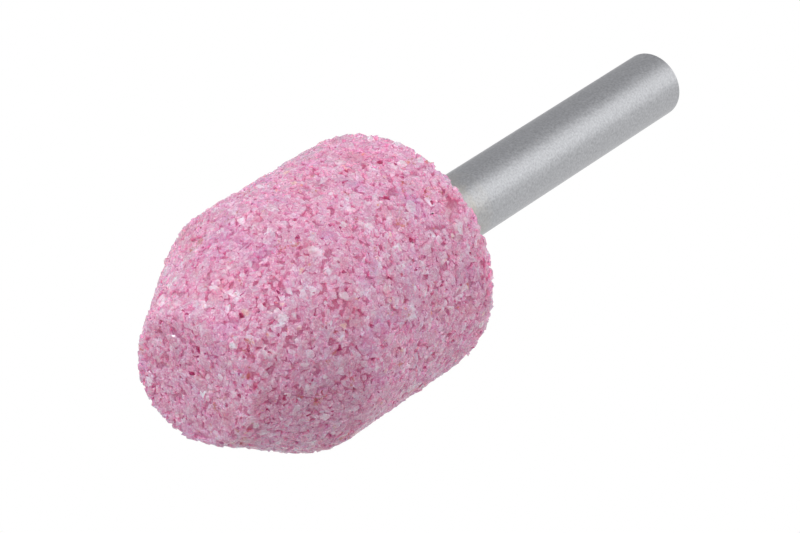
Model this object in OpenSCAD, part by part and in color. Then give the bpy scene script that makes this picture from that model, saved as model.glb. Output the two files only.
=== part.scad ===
// Mounted point: a coarse abrasive stone with a front bevel, cemented on a plain round steel shank.
// It stands on its flat nose, with the tool's axis on Z and the shank up. Sizes are in millimetres.

/* [Stone] */
// Diameter of the cylindrical part
head_diameter = 21.4; // [20:0.1:32]
// Length from the nose to the back face
head_length = 26.6; // [22:0.1:40]
// Diameter of the flat nose, measured to the corner before it is rounded
nose_diameter = 11; // [10:0.1:16]
// Length of the front bevel along the axis
bevel_length = 9.6; // [4:0.1:12]
// Rounding between the nose and the bevel
nose_edge_radius = 0.5; // [0.2:0.1:1.5]
// Rounding between the bevel and the cylinder
ridge_radius = 2.6; // [0.5:0.1:4]
// Rounding of the back edge
back_edge_radius = 2; // [0.5:0.1:3]

/* [Shank] */
// Diameter of the shank
shank_diameter = 6; // [3:0.1:8]
// Length that stands out of the stone, for the collet
free_length = 40; // [25:1:80]
// Length seated in the stone
seated_length = 18; // [10:0.5:18]
// Chamfer on both ends
end_chamfer = 0.5; // [0.2:0.1:1]

/* [Keying grooves] */
// Distance from one groove to the next
groove_pitch = 3; // [2.5:0.1:6]
// Width of a groove at the surface of the shank
groove_width = 1.4; // [1:0.1:2]
// Depth of a groove, whose sides slope at 45 degrees
groove_depth = 0.4; // [0.2:0.05:0.45]
// Plain land between the last groove and the chamfer of the seated end
tip_land = 1; // [0.5:0.1:3]

/* [Cement] */
// Thickness of the cement around the shank
cement_gap = 0.25; // [0.1:0.05:0.5]
// Thickness of the cement under the seated end
cement_bed = 0.8; // [0.3:0.1:1.5]
// Countersink at the mouth of the bore, filled level with the back face
mouth_chamfer = 0.6; // [0.2:0.1:1]

/* [Hidden] */
$fn = 96;
head_radius = head_diameter / 2;
nose_radius = nose_diameter / 2;
shank_radius = shank_diameter / 2;
bore_radius = shank_radius + cement_gap;

// Heights along the tool's axis, counted from the nose
seat_end = head_length - seated_length;
bore_end = seat_end - cement_bed;
shank_end = head_length + free_length;

// Direction of the bevel in the section, from the nose towards the ridge
bevel_run = [head_radius - nose_radius, bevel_length];
bevel_way = bevel_run / norm(bevel_run);

// Each rounding meets its faces at a faint edge, this far proud of running into them
edge_proud = 0.005;

// Grooves are counted down from the back face, as many as the seated length has room for
groove_room = seated_length - end_chamfer - tip_land - groove_width;
groove_count = floor(groove_room / groove_pitch) + 1;

// Section of the material that a rounding takes off a corner between two faces
module corner_relief(corner, back_way, on_way, radius) {
    half_angle = acos(back_way * on_way) / 2;
    inward = (back_way + on_way) / norm(back_way + on_way);
    center = corner + inward * (radius - edge_proud) / sin(half_angle);
    reach = radius / tan(half_angle);
    difference() {
        polygon([
            corner + back_way * reach,
            corner - inward * radius,
            corner + on_way * reach,
            center
        ]);
        translate(center)
            circle(r = radius);
    }
}

// Half section of the stone before it is bored
module stone_section() {
    difference() {
        polygon([
            [0, 0],
            [nose_radius, 0],
            [head_radius, bevel_length],
            [head_radius, head_length],
            [0, head_length]
        ]);
        corner_relief([nose_radius, 0], [-1, 0], bevel_way, nose_edge_radius);
        corner_relief([head_radius, bevel_length], -bevel_way, [0, 1], ridge_radius);
        corner_relief([head_radius, head_length], [0, -1], [-1, 0], back_edge_radius);
    }
}

// Half section of the blind bore and its countersink, run past the back face to cut the stone
module bore_section(past = 0) {
    polygon([
        [0, bore_end],
        [bore_radius, bore_end],
        [bore_radius, head_length - mouth_chamfer],
        [bore_radius + mouth_chamfer + past, head_length + past],
        [0, head_length + past]
    ]);
}

// Corners of one keying groove, whose upper edge is at the given height
function groove_points(top) = [
    [shank_radius, top - groove_width],
    [shank_radius - groove_depth, top - groove_width + groove_depth],
    [shank_radius - groove_depth, top - groove_depth],
    [shank_radius, top]
];

// Half section of the shank, from its seated end to its free end
module shank_section() {
    grooves = [
        for (i = [groove_count - 1 : -1 : 0])
            each groove_points(head_length - i * groove_pitch)
    ];
    polygon(concat(
        [[0, seat_end], [shank_radius - end_chamfer, seat_end], [shank_radius, seat_end + end_chamfer]],
        grooves,
        [[shank_radius, shank_end - end_chamfer], [shank_radius - end_chamfer, shank_end], [0, shank_end]]
    ));
}

// Vitrified stone with a flat nose, a front bevel, a rounded back edge and a blind bore
module abrasive_head() {
    color([0.84, 0.59, 0.72])
        rotate_extrude()
            difference() {
                stone_section();
                bore_section(past = 1);
            }
}

// Steel shank with chamfered ends and keying grooves on its seated length
module shank() {
    color([0.66, 0.67, 0.69])
        rotate_extrude()
            shank_section();
}

// Cement that fills the bore around the shank and under its seated end
module cement() {
    color([0.8, 0.75, 0.67])
        rotate_extrude()
            difference() {
                bore_section();
                shank_section();
            }
}

abrasive_head();
shank();
cement();
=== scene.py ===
import math
import bmesh
import bpy
import numpy as np
from mathutils import Matrix, Vector, kdtree


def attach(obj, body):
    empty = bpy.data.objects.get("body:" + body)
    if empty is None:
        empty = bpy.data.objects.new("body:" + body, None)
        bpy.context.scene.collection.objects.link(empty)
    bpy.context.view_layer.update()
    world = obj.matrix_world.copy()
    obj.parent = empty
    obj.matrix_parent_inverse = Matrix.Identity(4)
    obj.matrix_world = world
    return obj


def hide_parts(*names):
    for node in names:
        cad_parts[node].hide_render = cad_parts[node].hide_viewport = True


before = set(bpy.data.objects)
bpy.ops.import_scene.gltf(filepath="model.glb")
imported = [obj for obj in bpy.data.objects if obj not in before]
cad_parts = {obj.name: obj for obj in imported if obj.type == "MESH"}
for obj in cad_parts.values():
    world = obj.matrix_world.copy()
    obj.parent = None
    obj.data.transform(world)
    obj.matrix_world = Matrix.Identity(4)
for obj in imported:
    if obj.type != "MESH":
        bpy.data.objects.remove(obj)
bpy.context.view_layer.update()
scene = bpy.context.scene
scene.view_settings.view_transform = "Standard"
mm = 0.001  # the frame is in metres, sizes here are in millimetres


# sRGB hex to a linear colour
def tone(hexText):
    parts = [int(hexText[i:i + 2], 16) / 255 for i in (1, 3, 5)]
    return tuple(c / 12.92 if c <= 0.04045 else ((c + 0.055) / 1.055) ** 2.4 for c in parts) + (1.0,)


# Adds one node: settings are its properties or a ramp's colour stops,
# and then come values or links, by socket name or number
def addNode(tree, kind, settings=None, **sockets):
    made = tree.nodes.new("ShaderNode" + kind)
    for name, value in (settings or {}).items():
        if name == "stops":
            for k, (place, hexText) in enumerate(value):
                stop = made.color_ramp.elements[k] if k < 2 else made.color_ramp.elements.new(place)
                stop.position, stop.color = place, tone(hexText)
        else:
            setattr(made, name, value)
    for name, value in sockets.items():
        key = int(name[3:]) if name.startswith("at_") else name.replace("_", " ")
        if isinstance(value, bpy.types.NodeSocket):
            tree.links.new(value, made.inputs[key])
        else:
            made.inputs[key].default_value = value
    return made


def newMaterial(name):
    material = bpy.data.materials.new(name)
    material.use_nodes = True
    material.node_tree.nodes.clear()
    return material, material.node_tree


# Largest radius, lowest and highest place of a turned CAD node, in mm
def turnedSize(name):
    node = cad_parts[name]
    x, y, z = np.array([node.matrix_world @ v.co for v in node.data.vertices]).T / mm
    return [round(float(size), 2) for size in (np.hypot(x, y).max(), z.min(), z.max())]


# Camera at the photograph's angle
viewOfPhoto = {
    "axisInView": (0.5867, 0.3803, -0.7148),   # the tool's axis, nose to shank: right, up, towards the eye
    "noseInView": (-16.16, -8.77, -295.07),    # centre of the nose in mm, same directions
    "lens": 171.0, "sensor": 36.0,
    "near": 0.01, "far": 20.0,                 # metres
}


def placeCamera(v):
    axis = Vector(v["axisInView"]).normalized()
    across = axis.cross(Vector((0, 0, 1))).normalized()
    upright = axis.cross(across)
    worldFromView = Matrix((across, upright, axis))  # rows: the frame's X, Y, Z seen in the camera
    camera = bpy.data.objects.new("photoCamera", bpy.data.cameras.new("photoCamera"))
    camera.data.lens = v["lens"]
    camera.data.sensor_width = v["sensor"]
    camera.data.clip_start = v["near"]
    camera.data.clip_end = v["far"]
    place = worldFromView @ (-Vector(v["noseInView"]) * mm)
    camera.matrix_world = Matrix.Translation(place) @ worldFromView.to_4x4()
    scene.collection.objects.link(camera)
    scene.camera = camera
    return worldFromView


fromView = placeCamera(viewOfPhoto)
print("camera placed")


# Soft light, a pale floor and a card, in metres; ways are seen from the camera: right, up, towards the eye
studio = {
    "ambient": 0.50,            # level of the room light
    "middle": (0, 0, 0.024),    # what lamps and card face
    "floorSide": 4.0, "floorTone": "#f4f4f4",
    "lamps": {   # mirror says whether reflections show the lamp
        "leftBox": {"way": (-0.62, 0.48, 0.62), "reach": 0.45, "size": 0.18, "watts": 0.77, "mirror": True},
        # small, for the glints of broken crystal
        "sparkLamp": {"way": (-0.45, 0.80, 0.40), "reach": 0.45, "size": 0.05, "watts": 0.24, "mirror": True},
        "rightBox": {"way": (0.84, 0.54, 0.02), "reach": 0.45, "size": 0.38, "watts": 0.36, "mirror": True},
        # lights the stone, and leaves no band on the shank
        "sideBox": {"way": (0.68, 0.70, 0.22), "reach": 0.45, "size": 0.34, "watts": 0.30, "mirror": False},
        # high over the floor, for the shadow
        "topBox": {"way": (0.72, 0.24, -0.64), "reach": 0.80, "size": 0.70, "watts": 1.6, "mirror": False},
    },
    "greyCard": {"way": (0.04, 0.86, -0.51), "reach": 0.30, "size": 0.44, "tone": "#cacacc"},
}


# Turns a thing to face the tool from its place round it
def faceTool(made, place):
    way = (fromView @ Vector(place["way"])).normalized()
    made.location = Vector(studio["middle"]) + way * place["reach"]
    made.rotation_mode = "QUATERNION"
    made.rotation_quaternion = (-way).to_track_quat("-Z", "Y")
    scene.collection.objects.link(made)
    return made


def hangLamp(name, place):
    lamp = bpy.data.lights.new(name, "AREA")
    lamp.size = place["size"]
    lamp.energy = place["watts"]
    hung = faceTool(bpy.data.objects.new(name, lamp), place)
    hung.visible_glossy = place["mirror"]


def flatSquare(name, side):
    half = side / 2
    corners = [(-half, -half, 0), (half, -half, 0), (half, half, 0), (-half, half, 0)]
    mesh = bpy.data.meshes.new(name)
    mesh.from_pydata(corners, [], [(0, 1, 2, 3)])
    return mesh


# A grey card that shows only in reflections, where it draws the dark upper band on the shank
def hangCard(c):
    mesh = flatSquare("greyCard", c["size"])
    material, tree = newMaterial("greyCard")
    grey = addNode(tree, "Emission", None, Color=tone(c["tone"]))
    addNode(tree, "OutputMaterial", None, Surface=grey.outputs[0])
    mesh.materials.append(material)
    card = faceTool(bpy.data.objects.new("greyCard", mesh), c)
    card.visible_camera = card.visible_diffuse = card.visible_transmission = card.visible_shadow = False


# The room is pure white to the eye and in reflections, and dimmer as a light
def paintRoom(s):
    world = bpy.data.worlds.new("whiteRoom")
    scene.world = world
    world.use_nodes = True
    tree = world.node_tree
    tree.nodes.clear()
    ray = addNode(tree, "LightPath").outputs
    greater = {"operation": "MAXIMUM"}
    seen = addNode(tree, "Math", greater, at_0=ray["Is Camera Ray"], at_1=ray["Is Glossy Ray"]).outputs[0]
    seen = addNode(tree, "Math", greater, at_0=seen, at_1=ray["Is Transmission Ray"]).outputs[0]
    level = addNode(tree, "MapRange", None, Value=seen, To_Min=s["ambient"], To_Max=1.0)
    room = addNode(tree, "Background", None, Color=(1, 1, 1, 1), Strength=level.outputs[0])
    addNode(tree, "OutputWorld", None, Surface=room.outputs[0])


# The photograph looks up from below the level the nose stands on, so the floor shows only its upper side
def layFloor(s):
    mesh = flatSquare("floor", s["floorSide"])
    floor = bpy.data.objects.new("floor", mesh)
    scene.collection.objects.link(floor)
    material, tree = newMaterial("paleFloor")
    pale = addNode(tree, "BsdfDiffuse", None, Color=tone(s["floorTone"])).outputs[0]
    clear = addNode(tree, "BsdfTransparent").outputs[0]
    below = addNode(tree, "NewGeometry").outputs["Backfacing"]
    both = addNode(tree, "MixShader", None, Fac=below, at_1=pale, at_2=clear)
    addNode(tree, "OutputMaterial", None, Surface=both.outputs[0])
    mesh.materials.append(material)
    floor.visible_diffuse = floor.visible_glossy = floor.visible_transmission = floor.visible_shadow = False


for lampName, lampPlace in studio["lamps"].items():
    hangLamp(lampName, lampPlace)
hangCard(studio["greyCard"])
paintRoom(studio)
layFloor(studio)
print("light and floor ready")


# The abrasive stone: angular grains pressed against a mould wall, united with a turned core; sizes in mm
headRadius, _, headLength = turnedSize("abrasive_head")
mouthRadius, boreEnd, _ = turnedSize("cement")
stone = {
    "seed": 36,
    "headRadius": headRadius, "headLength": headLength,
    "noseRadius": 5.5, "bevelLength": 9.6,
    "noseEdge": 0.5, "ridgeEdge": 2.6, "backEdge": 1.6, "arcSteps": 12,
    "boreRadius": 3.25, "boreEnd": boreEnd, "mouthRadius": mouthRadius, "mouthDepth": 0.6,
    "spacing": 0.53,             # from one grain to the next, about that of a 30 grit
    "rowShare": 0.87,            # of the spacing, from one ring of grains to the next
    "jitter": 0.45,              # most that a grain is off its place, as a share of spacing or row
    "firstRow": 0.3, "lastRow": 0.25, "lastGrain": 0.2,   # share of a row at the nose, then mm off the mouth
    "grainHalf": 0.43, "grainVary": 0.32, "grainLeast": 0.20, "grainMost": 0.90,
    "chipKinds": 48, "chipCorners": (9, 15), "chipStretch": (0.75, 1.25),
    "lean": 0.145,               # how far a grain's outer face leans from the mould wall
    "topMean": 0.02, "topVary": 0.055, "topMost": 0.17, "topLeast": -0.30,
    "ragged": 1.5, "raggedWidth": 1.0,   # edges of the nose and the back lost more grains
    "bareShare": 0.04,           # places that lost their grain
    "coreInset": 0.24,           # glassy bond fills the gaps up to this far under the outline
    "coreSteps": 60, "coreSegments": 160,
    "lipClear": 0.5, "lipWidth": 0.3, "lipDrop": 0.03,    # plain bond round the mouth of the bore
    "poresEach": 1.30,           # pores to the square millimetre
    "poreHalf": 0.135, "poreVary": 0.46, "poreStretch": (0.5, 1.5), "poreMost": 0.36,
    "poreSink": (0.3, 0.8),      # shares of its size that a pore's middle is sunk
    "poreClear": 0.6, "poreSteps": 4000,   # mm off the mouth, and places along the outline to choose from
    "poreLuck": 0.015, "bondLuck": 0.045, "grainLuck": (0.07, 1.0),   # places on the colour ramp
    "faces": 194000,             # triangles that the skin is thinned to
}


# Rounds the corners of a half section, points are (radius, height)
def roundCorners(corners, radii, steps):
    points = [np.array(corners[0], float)]
    for before, corner, after, radius in zip(corners, corners[1:], corners[2:], radii):
        before, corner, after = (np.array(p, float) for p in (before, corner, after))
        back = (before - corner) / np.linalg.norm(before - corner)
        onward = (after - corner) / np.linalg.norm(after - corner)
        half = math.acos(float(back @ onward)) / 2
        bisector = (back + onward) / np.linalg.norm(back + onward)
        centre = corner + bisector * radius / math.sin(half)
        start, end = (corner + way * radius / math.tan(half) - centre for way in (back, onward))
        a0, a1 = math.atan2(start[1], start[0]), math.atan2(end[1], end[0])
        turn = (a1 - a0 + math.pi) % (2 * math.pi) - math.pi
        bends = a0 + turn * np.arange(steps + 1) / steps
        points += list(centre + radius * np.stack((np.cos(bends), np.sin(bends)), 1))
    points.append(np.array(corners[-1], float))
    return np.array(points)


def stoneOutline(s):
    corners = [(0, 0), (s["noseRadius"], 0), (s["headRadius"], s["bevelLength"]),
               (s["headRadius"], s["headLength"]), (s["mouthRadius"], s["headLength"])]
    return roundCorners(corners, (s["noseEdge"], s["ridgeEdge"], s["backEdge"]), s["arcSteps"])


# Length of the outline, and a function for the place and the outward normal at any length along it
def walkOutline(outline):
    steps = np.linalg.norm(np.diff(outline, axis=0), axis=1)
    along = np.concatenate(([0.0], np.cumsum(steps)))
    ways = np.diff(outline, axis=0) / steps[:, None]
    normals = np.stack((ways[:, 1], -ways[:, 0]), 1)
    middles = (along[1:] + along[:-1]) / 2

    def at(length):
        place = np.stack([np.interp(length, along, outline[:, k]) for k in (0, 1)], 1)
        normal = np.stack([np.interp(length, middles, normals[:, k]) for k in (0, 1)], 1)
        return place, normal / np.linalg.norm(normal, axis=1)[:, None]

    return along[-1], at


# Convex chips with flat faces, as fused alumina breaks: corners, faces, face normals and shares of area
def chipShapes(rng, s):
    shapes = []
    for _ in range(s["chipKinds"]):
        points = rng.normal(size=(int(rng.integers(*s["chipCorners"])), 3))
        points /= np.linalg.norm(points, axis=1)[:, None]
        points *= rng.uniform(*s["chipStretch"], 3)
        bm = bmesh.new()
        for p in points:
            bm.verts.new(p)
        bmesh.ops.convex_hull(bm, input=bm.verts)
        bmesh.ops.delete(bm, geom=[v for v in bm.verts if not v.link_faces], context="VERTS")
        bmesh.ops.triangulate(bm, faces=bm.faces)
        bm.verts.index_update()
        corners = np.array([v.co for v in bm.verts])
        faces = np.array([[v.index for v in f.verts] for f in bm.faces])
        bm.free()
        a, b, c = (corners[faces[:, k]] for k in range(3))
        normals = np.cross(b - a, c - a)
        areas = np.linalg.norm(normals, axis=1)
        shapes.append((corners, faces, normals / areas[:, None], areas / areas.sum()))
    return shapes


# Rings of jittered places over the whole outline, as lengths along it and angles about the axis
def grainPlaces(rng, s, reach, at):
    lengths, angles = [], []
    row = s["spacing"] * s["rowShare"]
    for ring in np.arange(row * s["firstRow"], reach - s["lastRow"], row):
        radius = at(np.array([ring]))[0][0, 0]
        count = max(1, round(2 * math.pi * radius / s["spacing"]))
        start = rng.uniform()
        aside = rng.uniform(-s["jitter"], s["jitter"], count)
        onward = rng.uniform(-s["jitter"], s["jitter"], count)
        angles.append((np.arange(count) + start + aside) * 2 * math.pi / count)
        lengths.append(np.clip(ring + onward * row, 0.0, reach - s["lastGrain"]))
    lengths, angles = np.concatenate(lengths), np.concatenate(angles)
    kept = rng.uniform(size=len(lengths)) > s["bareShare"]
    return lengths[kept], angles[kept]


def onAxis(place, angle):
    return np.stack((place[:, 0] * np.cos(angle), place[:, 0] * np.sin(angle), place[:, 1]), 1)


# The turn that takes one direction to another
def turnTo(a, b, least=1e-6):
    v = np.cross(a, b)
    k = np.array(((0, -v[2], v[1]), (v[2], 0, -v[0]), (-v[1], v[0], 0)))
    return np.eye(3) + k + k @ k / max(1 + a @ b, least)


# A grain or a pore: its middle, its corners, its faces and its farthest reach
def chipAt(middle, around, faces):
    reach = np.linalg.norm(around, axis=1).max()
    return {"middle": middle, "corners": around + middle, "faces": faces, "reach": reach}


# Each grain lies with one of its faces along the mould wall
def layGrains(rng, s, reach, at):
    lengths, angles = grainPlaces(rng, s, reach, at)
    place, slope = at(lengths)
    centres, normals = onAxis(place, angles), onAxis(slope, angles)
    shapes = chipShapes(rng, s)
    grains = []
    # edges of the nose and the back, as lengths along the outline
    edgesAt = np.array((s["noseRadius"], reach - s["headRadius"] + s["mouthRadius"]))
    fromEdge = np.abs(lengths[:, None] - edgesAt).min(1)
    varies = s["topVary"] * (1 + s["ragged"] * np.exp(-(fromEdge / s["raggedWidth"]) ** 2))
    for centre, normal, vary in zip(centres, normals, varies):
        corners, faces, faceNormals, shares = shapes[rng.integers(len(shapes))]
        outer = faceNormals[rng.choice(len(faces), p=shares)]
        leaning = normal + rng.normal(0, s["lean"], 3)
        size = s["grainHalf"] * math.exp(rng.normal(0, s["grainVary"]))
        size = np.clip(size, s["grainLeast"], s["grainMost"])
        chip = corners @ turnTo(outer, leaning / np.linalg.norm(leaning)).T * size
        top = np.clip(rng.normal(s["topMean"], vary), s["topLeast"], s["topMost"])
        middle = centre + normal * (top - (chip @ normal).max())
        middle[2] = max(middle[2], -chip[:, 2].min())   # nothing stands below the level of the nose
        grains.append(chipAt(middle, chip, faces))
    return grains


# Angular pores where bond and grain left a hole
def openPores(rng, s, reach, at):
    lengths = np.linspace(0, reach - s["poreClear"], s["poreSteps"])
    rings = at(lengths)[0][:, 0] * 2 * math.pi
    area = rings.sum() * (lengths[1] - lengths[0])
    lengths = rng.choice(lengths, int(area * s["poresEach"]), p=rings / rings.sum())
    angles = rng.uniform(0, 2 * math.pi, len(lengths))
    place, slope = at(lengths)
    shapes = chipShapes(rng, s)
    pores = []
    for opening, normal in zip(onAxis(place, angles), onAxis(slope, angles)):
        corners, faces = shapes[rng.integers(len(shapes))][:2]
        size = min(s["poreHalf"] * math.exp(rng.normal(0, s["poreVary"])), s["poreMost"])
        way = rng.normal(size=3)
        stretch = rng.uniform(*s["poreStretch"], 3)
        chip = (corners * stretch) @ turnTo(normal, way / np.linalg.norm(way)).T * size
        middle = opening - normal * size * rng.uniform(*s["poreSink"])
        pores.append(chipAt(middle, chip, faces))
    return pores


# Closed half section turned about the axis, with both ends on the axis
def turnSection(section, segments):
    around = np.arange(segments) * 2 * math.pi / segments
    east, north = np.cos(around), np.sin(around)
    verts = [np.array([(0, 0, section[0][1])])]
    verts += [np.stack((r * east, r * north, np.full(segments, z)), 1) for r, z in section[1:-1]]
    verts = np.concatenate(verts + [np.array([(0, 0, section[-1][1])])])
    last = len(verts) - 1
    faces = []
    for k in range(segments):
        n = (k + 1) % segments
        faces += [(0, 1 + n, 1 + k), (last, last - segments + k, last - segments + n)]
        for ring in range(len(section) - 3):
            a, b = 1 + ring * segments, 1 + (ring + 1) * segments
            faces += [(a + k, a + n, b + n), (a + k, b + n, b + k)]
    return verts, np.array(faces)


# Half section of the core, inset from the outline, with the bore and its countersink
def coreSection(s, reach, at):
    place, slope = at(np.linspace(0, reach, s["coreSteps"]))
    inner = place - slope * s["coreInset"]
    inner[0, 0] = 0.0
    onSide = inner[:, 1] < s["headLength"] / 2
    inner = inner[onSide | (inner[:, 0] > s["mouthRadius"] + s["lipClear"])]
    mouth = [
        (s["mouthRadius"] + s["lipWidth"], s["headLength"] - s["lipDrop"]),
        (s["mouthRadius"], s["headLength"]),
        (s["boreRadius"], s["headLength"] - s["mouthDepth"]),
        (s["boreRadius"], s["boreEnd"]),
        (0, s["boreEnd"]),
    ]
    return [tuple(p) for p in inner] + mouth


def meshFrom(name, verts, faces):
    mesh = bpy.data.meshes.new(name)
    mesh.vertices.add(len(verts))
    mesh.vertices.foreach_set("co", np.asarray(verts, np.float32).ravel())
    mesh.loops.add(len(faces) * 3)
    mesh.loops.foreach_set("vertex_index", np.asarray(faces, np.int32).ravel())
    mesh.polygons.add(len(faces))
    mesh.polygons.foreach_set("loop_start", np.arange(len(faces), dtype=np.int32) * 3)
    mesh.update(calc_edges=True)
    return mesh


def setNumbers(mesh, name, domain, values):
    mesh.attributes.new(name, "FLOAT", domain).data.foreach_set("value", np.asarray(values, np.float32))


def linked(name, mesh):
    made = bpy.data.objects.new(name, mesh)
    scene.collection.objects.link(made)
    return made


def withModifier(made, kind, **settings):
    modifier = made.modifiers.new(kind, kind)
    for name, value in settings.items():
        setattr(modifier, name, value)
    bpy.context.view_layer.update()
    return bpy.data.meshes.new_from_object(made.evaluated_get(bpy.context.evaluated_depsgraph_get()))


# Sorts grains or pores into lots in which none touches another, so that each lot is a clean solid of its own
def sortIntoLots(chips):
    tree = kdtree.KDTree(len(chips))
    for k, chip in enumerate(chips):
        tree.insert(chip["middle"], k)
    tree.balance()
    widest = max(chip["reach"] for chip in chips)
    lotOf = [-1] * len(chips)
    for k, chip in enumerate(chips):
        near = tree.find_range(chip["middle"], chip["reach"] + widest)
        taken = {lotOf[n] for _, n, gap in near if gap < chip["reach"] + chips[n]["reach"]}
        lotOf[k] = next(lot for lot in range(len(chips)) if lot not in taken)
    return [[k for k in range(len(chips)) if lotOf[k] == lot] for lot in range(max(lotOf) + 1)]


# Adds grains to the stone, or cuts pores out of it, one lot at a time
def workStone(united, chips, lucks, operation):
    for lot in sortIntoLots(chips):
        starts = np.cumsum([0] + [len(chips[k]["corners"]) for k in lot])
        verts = np.concatenate([chips[k]["corners"] for k in lot])
        faces = np.concatenate([chips[k]["faces"] + start for k, start in zip(lot, starts)])
        mesh = meshFrom("lot", verts, faces)
        luckOfFaces = np.concatenate([np.full(len(chips[k]["faces"]), lucks[k]) for k in lot])
        setNumbers(mesh, "grainLuck", "FACE", luckOfFaces)
        tool = linked("lot", mesh)
        united.data = withModifier(united, "BOOLEAN", operation=operation, solver="MANIFOLD", object=tool)
        united.modifiers.clear()
        bpy.data.objects.remove(tool)


# Drops the closed bubbles between grains and anything loose, and keeps the one outer skin
def keepSkin(mesh):
    bm = bmesh.new()
    bm.from_mesh(mesh)
    bmesh.ops.triangulate(bm, faces=bm.faces)
    bm.verts.ensure_lookup_table()
    first = max(bm.verts, key=lambda v: v.co.x)
    skin, edge = {first}, [first]
    while edge:
        edge = [v for v in {e.other_vert(v) for v in edge for e in v.link_edges} if v not in skin]
        skin.update(edge)
    bmesh.ops.delete(bm, geom=[v for v in bm.verts if v not in skin], context="VERTS")
    bm.to_mesh(mesh)
    bm.free()


# Draws together the few edges where thinning left two folds of the skin touching
def mendEdges(mesh, mostRounds=10, shortest=1e-5):
    bm = bmesh.new()
    bm.from_mesh(mesh)
    for _ in range(mostRounds):
        touching = [e for e in bm.edges if len(e.link_faces) != 2]
        if not touching:
            break
        bmesh.ops.collapse(bm, edges=touching)
    bmesh.ops.dissolve_degenerate(bm, dist=shortest, edges=bm.edges)
    bmesh.ops.triangulate(bm, faces=bm.faces)
    print("edges left with other than two faces:", sum(len(e.link_faces) != 2 for e in bm.edges))
    bm.to_mesh(mesh)
    bm.free()


def meshArrays(mesh):
    verts = np.zeros(len(mesh.vertices) * 3, np.float32)
    mesh.vertices.foreach_get("co", verts)
    faces = np.zeros(len(mesh.loops), np.int32)
    mesh.loops.foreach_get("vertex_index", faces)
    return verts.reshape(-1, 3).astype(float), faces.reshape(-1, 3)


# Depth of each vertex under the turned outline, and where it is along it, in mm
def underOutline(verts, reach, at, steps=600):
    lengths = np.linspace(0, reach, steps)
    line, normal = at(lengths)
    tree = kdtree.KDTree(len(line))
    for k, p in enumerate(line):
        tree.insert((p[0], p[1], 0), k)
    tree.balance()
    flat = np.stack((np.hypot(verts[:, 0], verts[:, 1]), verts[:, 2]), 1)
    near = np.array([tree.find((p[0], p[1], 0))[1] for p in flat])
    return ((line[near] - flat) * normal[near]).sum(1), lengths[near]


# How much each vertex stands out from its neighbours: over 0 on edges and corners, under 0 in crevices
def sharpness(verts, faces, least=1e-12):
    a, b, c = (verts[faces[:, k]] for k in range(3))
    across = np.cross(b - a, c - a)
    normals = np.zeros_like(verts)
    for k in range(3):
        np.add.at(normals, faces[:, k], across)
    normals /= np.maximum(np.linalg.norm(normals, axis=1), least)[:, None]
    total, count = np.zeros(len(verts)), np.zeros(len(verts))
    for here, there in ((0, 1), (1, 2), (2, 0)):
        way = verts[faces[:, here]] - verts[faces[:, there]]
        way /= np.maximum(np.linalg.norm(way, axis=1), least)[:, None]
        np.add.at(total, faces[:, here], (way * normals[faces[:, here]]).sum(1))
        np.add.at(count, faces[:, here], 1)
    return total / np.maximum(count, 1)


# Sheet on which the stone is unrolled for baking, in mm: starts of its strips and middles of its discs
bakeSheet = {
    "side": 69.0,
    "sideStrip": (0.9, 1.0), "boreStrip": (38.5, 33.0),
    "noseDisc": (7.0, 38.5), "backDisc": (25.5, 44.0), "floorDisc": (64.0, 37.0),
    "noseTrim": 0.2, "backTrim": 0.6,      # mm of the nose, and share of the back edge, that go with the side
    "wallSlack": 0.15, "endSlack": 0.05,   # how far off the bore a face still counts as the bore's
}


def unrollStone(mesh, verts, faces, length, reach, s, b):
    noseSpan = s["noseRadius"] - b["noseTrim"]
    backSpan = s["headRadius"] - s["mouthRadius"] - b["backTrim"] * s["backEdge"]
    corner = verts[faces]
    middle = corner.mean(1)
    bearing = np.arctan2(middle[:, 1], middle[:, 0])[:, None]
    angle = bearing + (np.arctan2(corner[:, :, 1], corner[:, :, 0]) - bearing + math.pi) % (2 * math.pi)
    along = length[faces]
    inBore = np.hypot(middle[:, 0], middle[:, 1]) < s["boreRadius"] + b["wallSlack"]
    inBore &= middle[:, 2] > s["boreEnd"] - b["endSlack"]
    inBore &= middle[:, 2] < s["headLength"] - s["mouthDepth"] + b["endSlack"]
    onFloor = inBore & (middle[:, 2] < s["boreEnd"] + b["endSlack"])
    onNose = ~inBore & (along.mean(1) < noseSpan)
    onBack = ~inBore & (along.mean(1) > reach - backSpan)
    places = np.stack((angle * s["headRadius"], along - noseSpan), 2) + b["sideStrip"]
    wall = np.stack((angle * s["boreRadius"], corner[:, :, 2] - s["boreEnd"]), 2) + b["boreStrip"]
    places[inBore] = wall[inBore]
    for disc, centre in ((onNose, b["noseDisc"]), (onBack, b["backDisc"]), (onFloor, b["floorDisc"])):
        places[disc] = corner[disc][:, :, :2] + centre
    spots = (places / b["side"]).astype(np.float32)
    mesh.uv_layers.new(name="OFBake").data.foreach_set("uv", spots.ravel())


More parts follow.
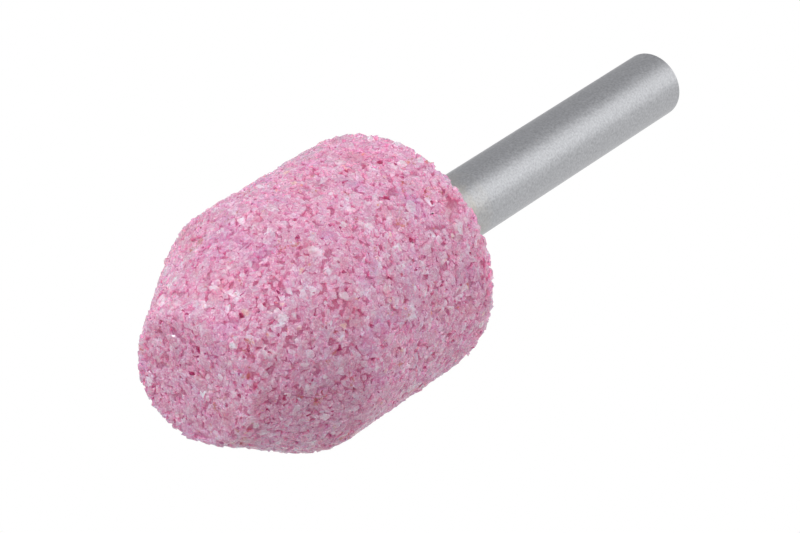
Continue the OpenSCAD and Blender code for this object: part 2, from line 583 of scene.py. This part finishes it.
def buildStone(s):
    rng = np.random.default_rng(s["seed"])
    reach, at = walkOutline(stoneOutline(s))
    grains = layGrains(rng, s, reach, at)
    print("grains laid:", len(grains))
    core = meshFrom("core", *turnSection(coreSection(s, reach, at), s["coreSegments"]))
    setNumbers(core, "grainLuck", "FACE", np.full(len(core.polygons), s["bondLuck"]))
    united = linked("unitedStone", core)
    workStone(united, grains, rng.uniform(*s["grainLuck"], len(grains)), "UNION")
    pores = openPores(rng, s, reach, at)
    workStone(united, pores, np.full(len(pores), s["poreLuck"]), "DIFFERENCE")
    print("grains united,", len(pores), "pores opened")
    keepSkin(united.data)
    whole = len(united.data.polygons)
    mesh = withModifier(united, "DECIMATE", ratio=min(1.0, s["faces"] / whole), use_collapse_triangulate=True)
    bpy.data.objects.remove(united)
    print("skin of", whole, "faces thinned to", len(mesh.polygons))
    mendEdges(mesh)
    mesh.name = "abrasiveStone"
    verts, faces = meshArrays(mesh)
    depth, length = underOutline(verts, reach, at)
    setNumbers(mesh, "grainDepth", "POINT", depth)
    setNumbers(mesh, "grainEdge", "POINT", sharpness(verts, faces))
    unrollStone(mesh, verts, faces, length, reach, s, bakeSheet)
    mesh.transform(Matrix.Scale(mm, 4))
    mesh.shade_flat()
    return linked("abrasiveStone", mesh)


# Crushed pink fused alumina, fired in a glassy bond: broken clear crystal glints, and light wanders
# inside it, so it looks like coarse pink sugar with milky clefts, and its gaps and pores stay rose, not black
alumina = {
    "grains": [
        (0.0, "#9b4879"), (0.03, "#9b4879"),      # pores, a darker rose: painted shade in them
        (0.031, "#bc7ea0"), (0.06, "#bc7ea0"),    # bond
        (0.061, "#c283a6"), (0.5, "#c693b2"), (0.88, "#c7a3bc"),    # most grains, paler by chance
        (0.965, "#cbb8ca"), (0.985, "#d1cbd7"), (1.0, "#dde3e9"),   # and the few white ones
    ],
    "crystal": 0.50, "crystalBlend": 0.3,   # mm, pieces that a grain is grown from, and how far they blend
    "shard": 0.20,                          # mm, cleavage inside a crystal
    "bend": 0.40, "bendWidth": 0.80,        # mm, how far and how widely both are bent from plain cells
    "speckApart": 3.0,                      # mm
    # width in mm, detail, roughness, and whether it is bent like the crystals
    "noises": {
        "cloud": (0.45, 3.0, 0.60, False),
        "frost": (0.125, 2.0, 0.60, False),
        "ice": (1.2, 2.0, 0.50, True),
        "patch": (2.8, 2.0, 0.50, False),
        "fleck": (1.9, 5.0, 0.80, False),
    },
    # pattern, range that it is read over, greatest share, and the tone that it brings in
    "layers": [
        ("crystalA", 0.55, 1.0, 0.30, "#d3c4d1"),       # milky crystals
        ("crystalB", 0.55, 1.0, 0.29, "#b5628e"),       # clear ones, deeper in tone
        ("crystalC", 0.994, 0.995, 0.60, "#ddd6b5"),    # a few yellowish ones
        ("shardA", 0.55, 1.0, 0.43, "#d6d0da"),         # white clefts
        ("shardC", 0.9955, 0.9965, 0.70, "#cd9069"),    # orange flecks
        ("shardB", 0.50, 1.0, 0.32, "#b55f89"),         # rosy clefts
        ("cloud", 0.55, 0.74, 0.40, "#d3c8d4"),         # milky clouds
        ("frost", 0.52, 0.72, 0.62, "#ddd7e0"),         # frosted breaks
        ("frost", 0.46, 0.28, 0.44, "#b45b87"),         # and the clear ones between them
        ("ice", 0.62, 0.70, 0.60, "#dee2e7"),           # icy pieces
        ("patch", 0.58, 0.74, 0.50, "#bc7289"),         # redder fired patches
        ("patch", 0.45, 0.28, 0.45, "#b582b1"),         # and cooler ones
        ("edge", 0.20, 0.70, 0.30, "#d4d2db"),          # painted highlight on convex edges
        ("edge", -0.22, -0.60, 0.50, "#9f4273"),        # painted shade in crevices
        ("depth", 0.15, 0.27, 0.45, "#9f4273"),         # painted shade on sunk faces
        ("fleck", 0.615, 0.65, 0.65, "#ab664a"),        # rust from the crusher
        ("speck", 0.045, 0.030, 0.90, "#393438"),       # a few dark specks, a fifth of a millimetre wide
    ],
    "facet": 0.7,                # how far the shards' facets tilt
    "rough": (0.06, 0.40),       # from glassy shards to frosted ones
    "ior": 1.60, "shine": 0.35,  # shine is low, because the bond dulls much of the crystal
    "dust": 0.12,                # fine dust, which pales the rims
    "wander": 3.2, "wanderShares": (1.0, 0.21, 0.29),   # mm, how far light goes inside: red the furthest
}


def pinkAlumina(a):
    material, tree = newMaterial("crushedPinkAlumina")
    luck = addNode(tree, "Attribute", {"attribute_name": "grainLuck"}).outputs["Fac"]
    depth = addNode(tree, "Attribute", {"attribute_name": "grainDepth"}).outputs["Fac"]
    edge = addNode(tree, "Attribute", {"attribute_name": "grainEdge"}).outputs["Fac"]
    place = addNode(tree, "TexCoord").outputs["Object"]
    half = (0.5, 0.5, 0.5)   # taken off a random colour, so that it goes both ways
    sway = addNode(tree, "TexNoise", None, Vector=place, Scale=1 / (a["bendWidth"] * mm), Detail=2.0)
    sway = addNode(tree, "VectorMath", {"operation": "SUBTRACT"}, at_0=sway.outputs["Color"], at_1=half)
    broken = addNode(tree, "VectorMath", {"operation": "MULTIPLY_ADD"},
                     at_0=sway.outputs[0], at_1=(a["bend"] * mm,) * 3, at_2=place).outputs[0]
    crystals = addNode(tree, "TexVoronoi", {"feature": "SMOOTH_F1"},
                       Vector=broken, Scale=1 / (a["crystal"] * mm), Smoothness=a["crystalBlend"])
    shards = addNode(tree, "TexVoronoi", None, Vector=broken, Scale=1 / (a["shard"] * mm))
    specks = addNode(tree, "TexVoronoi", None, Vector=place, Scale=1 / (a["speckApart"] * mm))
    big = addNode(tree, "SeparateColor", None, Color=crystals.outputs["Color"]).outputs
    small = addNode(tree, "SeparateColor", None, Color=shards.outputs["Color"]).outputs
    patterns = {
        "crystalA": big[0], "crystalB": big[1], "crystalC": big[2],
        "shardA": small[0], "shardB": small[1], "shardC": small[2],
        "edge": edge, "depth": depth, "speck": specks.outputs["Distance"],
    }
    for name, (width, detail, roughness, bent) in a["noises"].items():
        noise = addNode(tree, "TexNoise", None, Vector=broken if bent else place, Scale=1 / (width * mm),
                        Detail=detail, Roughness=roughness)
        patterns[name] = noise.outputs["Fac"]
    colour = addNode(tree, "ValToRGB", {"stops": a["grains"]}, Fac=luck).outputs[0]
    for name, low, high, most, hexText in a["layers"]:
        share = addNode(tree, "MapRange", None,
                        Value=patterns[name], From_Min=low, From_Max=high, To_Max=most).outputs[0]
        colour = addNode(tree, "Mix", {"data_type": "RGBA"},
                         at_0=share, at_6=colour, at_7=tone(hexText)).outputs[2]
    # each shard is a flat facet with a tilt of its own
    within = addNode(tree, "VectorMath", {"operation": "SUBTRACT"},
                     at_0=broken, at_1=shards.outputs["Position"]).outputs[0]
    tilt = addNode(tree, "VectorMath", {"operation": "SUBTRACT"},
                   at_0=shards.outputs["Color"], at_1=half).outputs[0]
    facet = addNode(tree, "VectorMath", {"operation": "DOT_PRODUCT"}, at_0=within, at_1=tilt).outputs["Value"]
    bump = addNode(tree, "Bump", None, Strength=a["facet"], Distance=1.0, Height=facet)
    least, most = a["rough"]
    rough = addNode(tree, "MapRange", None, Value=small[2], To_Min=least, To_Max=most)
    shader = addNode(tree, "BsdfPrincipled", {"subsurface_method": "BURLEY"},
                     Base_Color=colour, Roughness=rough.outputs[0], Normal=bump.outputs[0],
                     IOR=a["ior"], Specular_IOR_Level=a["shine"], Sheen_Weight=a["dust"],
                     Subsurface_Weight=1.0, Subsurface_Scale=a["wander"] * mm,
                     Subsurface_Radius=a["wanderShares"])
    addNode(tree, "OutputMaterial", None, Surface=shader.outputs[0])
    return material


stonePiece = buildStone(stone)
stonePiece.data.materials.clear()
stonePiece.data.materials.append(pinkAlumina(alumina))
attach(stonePiece, "root")
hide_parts("abrasive_head")
print("stone built")


# Drawn carbon steel, tumbled: satin, mottled by the tumbling stones, with a film of cement left at its root
steel = {
    "greys": [(0.25, "#939497"), (0.75, "#bbbcbf")],
    "dent": 0.20, "dentDepth": 0.05,     # mm, marks of the tumbling stones
    "dentShare": 0.25,                   # how much of that depth shows
    "rough": (0.32, 0.52),               # from the dark marks to the bright ones
    "film": "#b9ad96",
    "filmFrom": 31.0, "filmTo": 37.0,    # mm along the tool, where the film thins out
    "smearWidth": 1.7,                   # mm, patches that were wiped thin
    "smearSpan": (0.36, 0.60), "smearMost": 0.7,   # range that they are read over, and greatest share
    "filmMetal": 0.1,                    # what is left of the metal's look under the full film
}


def tumbledSteel(s):
    material, tree = newMaterial("tumbledSatinSteel")
    place = addNode(tree, "TexCoord").outputs["Object"]
    mottle = addNode(tree, "TexNoise", None,
                     Vector=place, Scale=1 / (s["dent"] * mm), Detail=3.0, Roughness=0.6).outputs["Fac"]
    grey = addNode(tree, "ValToRGB", {"stops": s["greys"]}, Fac=mottle).outputs[0]
    smear = addNode(tree, "TexNoise", None,
                    Vector=place, Scale=1 / (s["smearWidth"] * mm), Detail=5.0, Roughness=0.7).outputs["Fac"]
    low, high = s["smearSpan"]
    smear = addNode(tree, "MapRange", None,
                    Value=smear, From_Min=low, From_Max=high, To_Max=s["smearMost"]).outputs[0]
    along = addNode(tree, "SeparateXYZ", None, Vector=place).outputs[2]
    root = addNode(tree, "MapRange", None,
                   Value=along, From_Min=s["filmTo"] * mm, From_Max=s["filmFrom"] * mm).outputs[0]
    film = addNode(tree, "Math", {"operation": "MULTIPLY"}, at_0=smear, at_1=root).outputs[0]
    colour = addNode(tree, "Mix", {"data_type": "RGBA"},
                     at_0=film, at_6=grey, at_7=tone(s["film"])).outputs[2]
    metal = addNode(tree, "MapRange", None, Value=film, To_Min=1.0, To_Max=s["filmMetal"]).outputs[0]
    least, most = s["rough"]
    rough = addNode(tree, "MapRange", None, Value=mottle, To_Min=least, To_Max=most).outputs[0]
    bump = addNode(tree, "Bump", None, Strength=s["dentShare"], Distance=s["dentDepth"] * mm, Height=mottle)
    shader = addNode(tree, "BsdfPrincipled", None,
                     Base_Color=colour, Metallic=metal, Roughness=rough, Normal=bump.outputs[0])
    addNode(tree, "OutputMaterial", None, Surface=shader.outputs[0])
    return material


# Fired cement, wiped level: beige, dull and sandy
cement = {
    "beiges": [(0.3, "#b8a696"), (0.7, "#dccfc5")],
    "sand": 0.2, "sandDepth": 0.1, "sandShare": 0.6,   # mm, and how much of that depth shows
    "rough": 0.9,
}


def firedCement(c):
    material, tree = newMaterial("firedCement")
    place = addNode(tree, "TexCoord").outputs["Object"]
    sand = addNode(tree, "TexNoise", None,
                   Vector=place, Scale=1 / (c["sand"] * mm), Detail=4.0, Roughness=0.65).outputs["Fac"]
    beige = addNode(tree, "ValToRGB", {"stops": c["beiges"]}, Fac=sand).outputs[0]
    bump = addNode(tree, "Bump", None, Strength=c["sandShare"], Distance=c["sandDepth"] * mm, Height=sand)
    shader = addNode(tree, "BsdfPrincipled", None,
                     Base_Color=beige, Roughness=c["rough"], Normal=bump.outputs[0])
    addNode(tree, "OutputMaterial", None, Surface=shader.outputs[0])
    return material


def dressNode(name, material):
    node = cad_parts[name]
    node.data.materials.clear()
    node.data.materials.append(material)


dressNode("shank", tumbledSteel(steel))
dressNode("cement", firedCement(cement))
print("shank and cement dressed")
